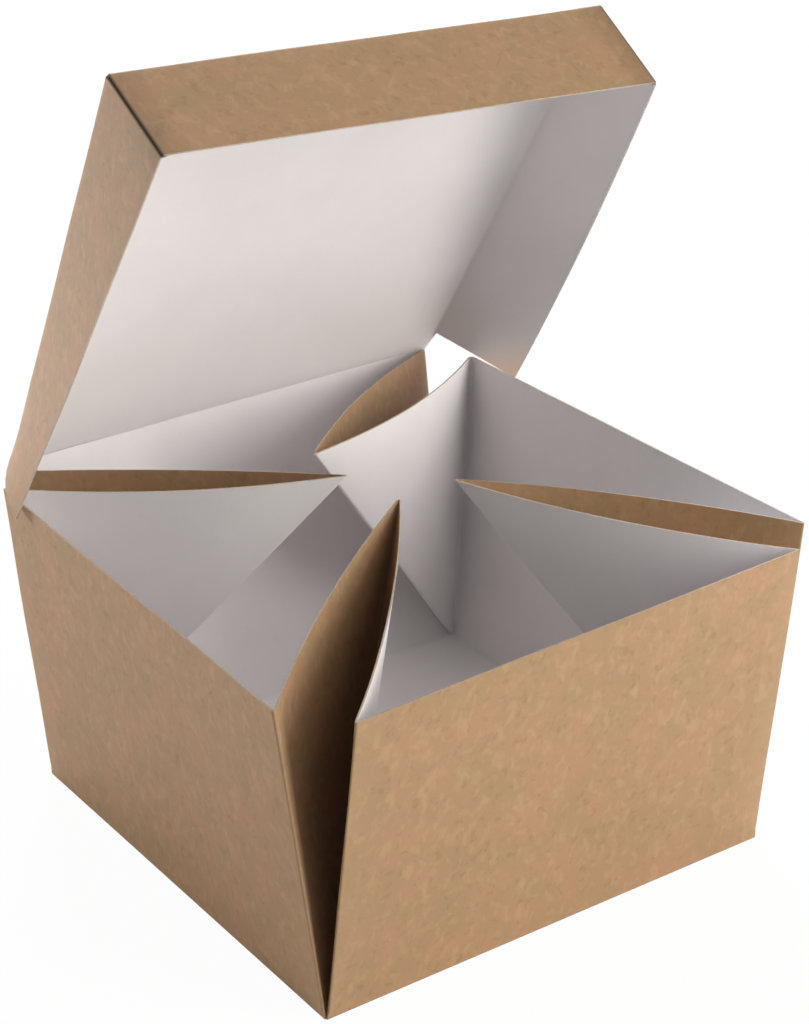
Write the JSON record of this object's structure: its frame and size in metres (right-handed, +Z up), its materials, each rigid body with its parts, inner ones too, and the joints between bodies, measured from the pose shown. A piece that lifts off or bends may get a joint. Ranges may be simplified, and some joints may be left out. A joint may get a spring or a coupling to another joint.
{
  "type": "takeaway box",
  "caption": "Square folding card box with leaning walls, bellows corners folded inwards, and a hinged lid tray with lips that stands open.",
  "frame": {"origin": "centre of the underside of the base", "axes": "+Z up, +Y towards the hinged back wall, +X towards the right wall as seen from the front"},
  "size_m": [0.1912, 0.1928, 0.2507],
  "materials": {
    "kraft_card": "matte brown outside, matte white inside"
  },
  "bodies": {
    "tray": {"tray": "kraft_card"},
    "lid": {"lid": "kraft_card"}
  },
  "joints": [
    {"name": "lid_hinge", "type": "hinge", "parent": "tray", "child": "lid", "pos_m": [0, 0.09579, 0.10466], "axis": [-1, 0, 0], "range_deg": [0, 120]}
  ]
}
